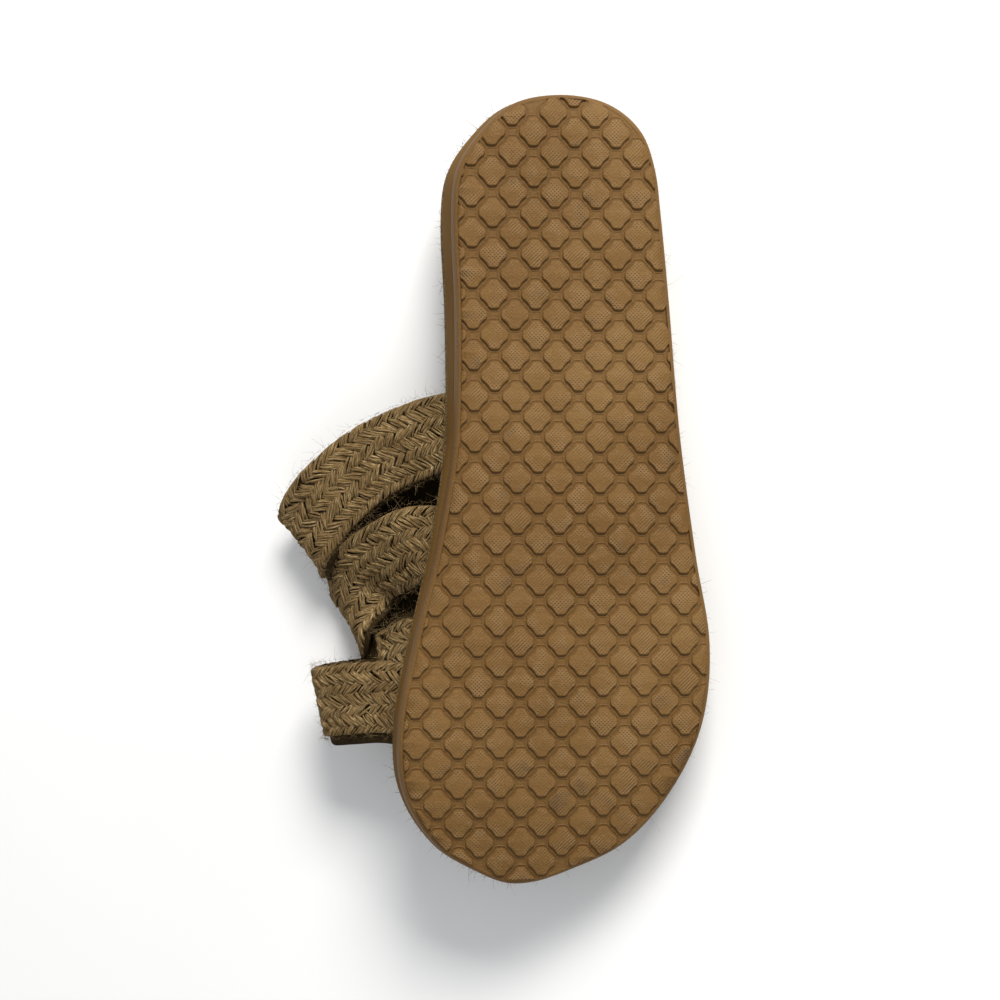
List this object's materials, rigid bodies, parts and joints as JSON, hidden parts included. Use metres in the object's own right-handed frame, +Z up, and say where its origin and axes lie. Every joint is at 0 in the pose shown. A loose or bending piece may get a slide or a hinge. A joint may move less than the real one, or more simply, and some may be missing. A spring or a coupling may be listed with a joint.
{
  "type": "woven sandal",
  "caption": "Right-foot sandal with crossed braided straps on a wedge sole with a lugged tread, lying on its side with the tread turned up.",
  "frame": {"origin": "on the floor, under the centre of the box of the sandal as it lies on its side", "axes": "+X from toe to heel along the sole, +Y from the outer side of the sole to the big-toe side, +Z up from the floor; the tread faces up and towards -Y"},
  "size_m": [0.2648, 0.1538, 0.0564],
  "materials": {
    "outsole": "matte moulded rubber, worn",
    "midsole": "matte foam rubber with fine lines along its side",
    "insole": "woven jute cloth with loose hairs at its rim",
    "upper": "braided jute with a smooth dark lining"
  },
  "bodies": {
    "root": {"outsole": "outsole", "midsole": "midsole", "insole": "insole", "upper": "upper"}
  },
  "joints": []
}
